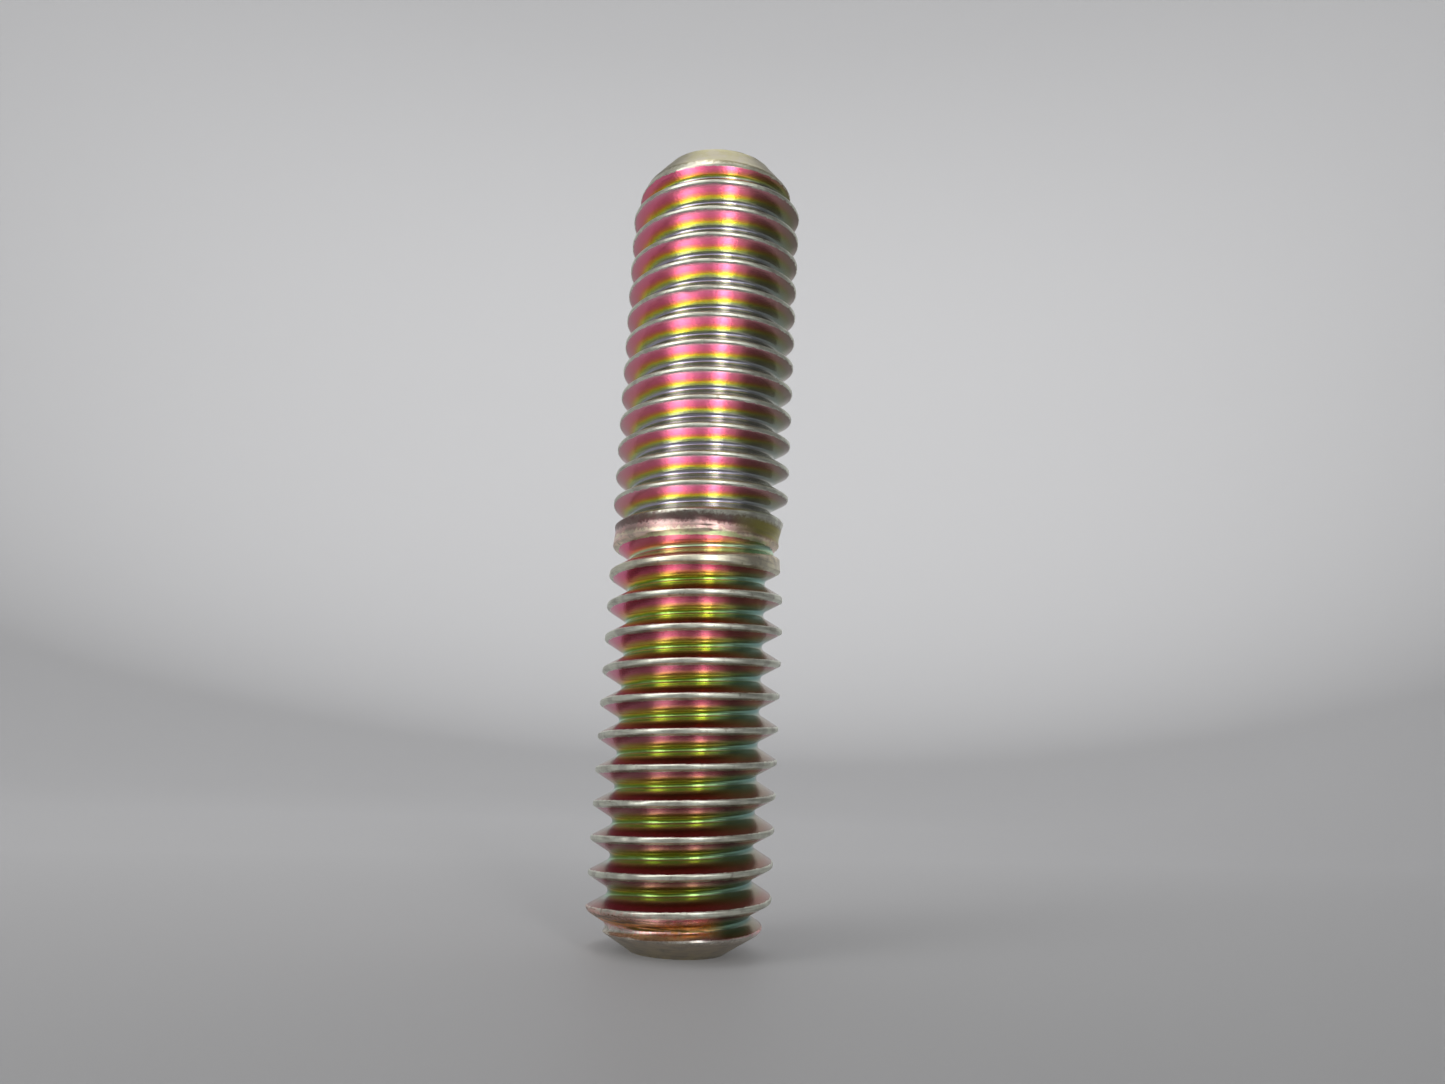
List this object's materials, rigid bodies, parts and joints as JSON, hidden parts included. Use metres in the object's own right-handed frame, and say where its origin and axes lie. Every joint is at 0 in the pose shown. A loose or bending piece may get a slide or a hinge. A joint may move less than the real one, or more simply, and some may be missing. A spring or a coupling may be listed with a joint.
{
  "type": "double-ended stud bolt",
  "caption": "Double-ended steel stud with a fine metric right-hand thread on one end and a coarse inch right-hand thread on the other, in yellow-chromated zinc.",
  "frame": {"origin": "middle of the flat face at the coarse end, on which the stud stands", "axes": "+Z along the stud's axis from the coarse end to the fine end, +X and +Y across it, with the pictured side facing -Y"},
  "size_m": [0.0078, 0.0078, 0.0354],
  "materials": {
    "chromated_zinc": "yellow-chromated zinc plate with pink, gold and green interference colours, silvery on the crests"
  },
  "bodies": {
    "root": {"stud": "chromated_zinc"}
  },
  "joints": []
}
